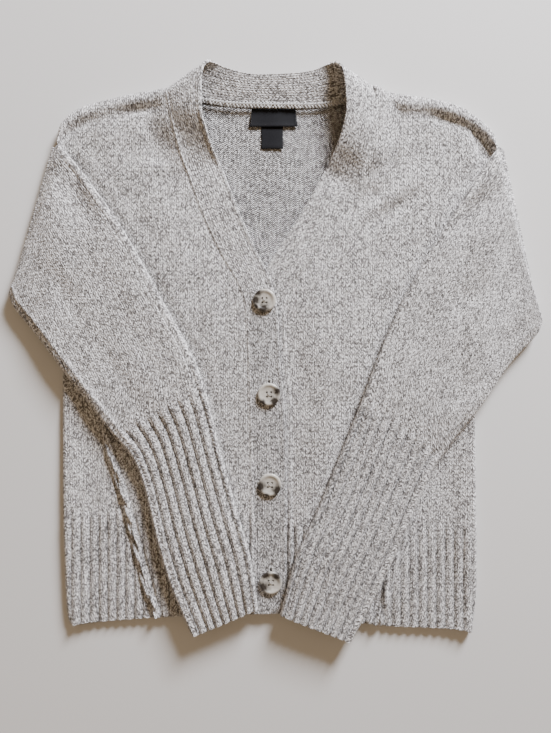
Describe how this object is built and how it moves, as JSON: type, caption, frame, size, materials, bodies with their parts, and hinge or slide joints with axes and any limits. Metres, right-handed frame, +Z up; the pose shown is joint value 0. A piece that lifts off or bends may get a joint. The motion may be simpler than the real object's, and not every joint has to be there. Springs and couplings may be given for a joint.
{
  "type": "button cardigan",
  "caption": "Long-sleeved V-neck knitted cardigan laid flat on its back, buttoned, with its sleeves folded across the front.",
  "frame": {"origin": "middle of the folded cardigan's box, on the surface it lies on", "axes": "+Z up from the surface, out of the front of the cardigan; +Y from the hem to the collar; +X towards the wearer's left"},
  "size_m": [0.583, 0.6364, 0.0194],
  "materials": {
    "heather_knit": "light heather grey wool-blend knit, plain and ribbed",
    "black_satin": "black woven satin",
    "horn_button": "polished horn-look resin",
    "sewing_thread": "pale sewing thread"
  },
  "bodies": {
    "root": {"back": "heather_knit", "front_right": "heather_knit", "front_left": "heather_knit", "neckband": "heather_knit", "sleeve_right": "heather_knit", "sleeve_left": "heather_knit", "neck_label": "black_satin", "size_label": "black_satin", "button_1": "horn_button", "button_2": "horn_button", "button_3": "horn_button", "button_4": "horn_button", "shank_1": "sewing_thread", "shank_2": "sewing_thread", "shank_3": "sewing_thread", "shank_4": "sewing_thread"}
  },
  "joints": []
}
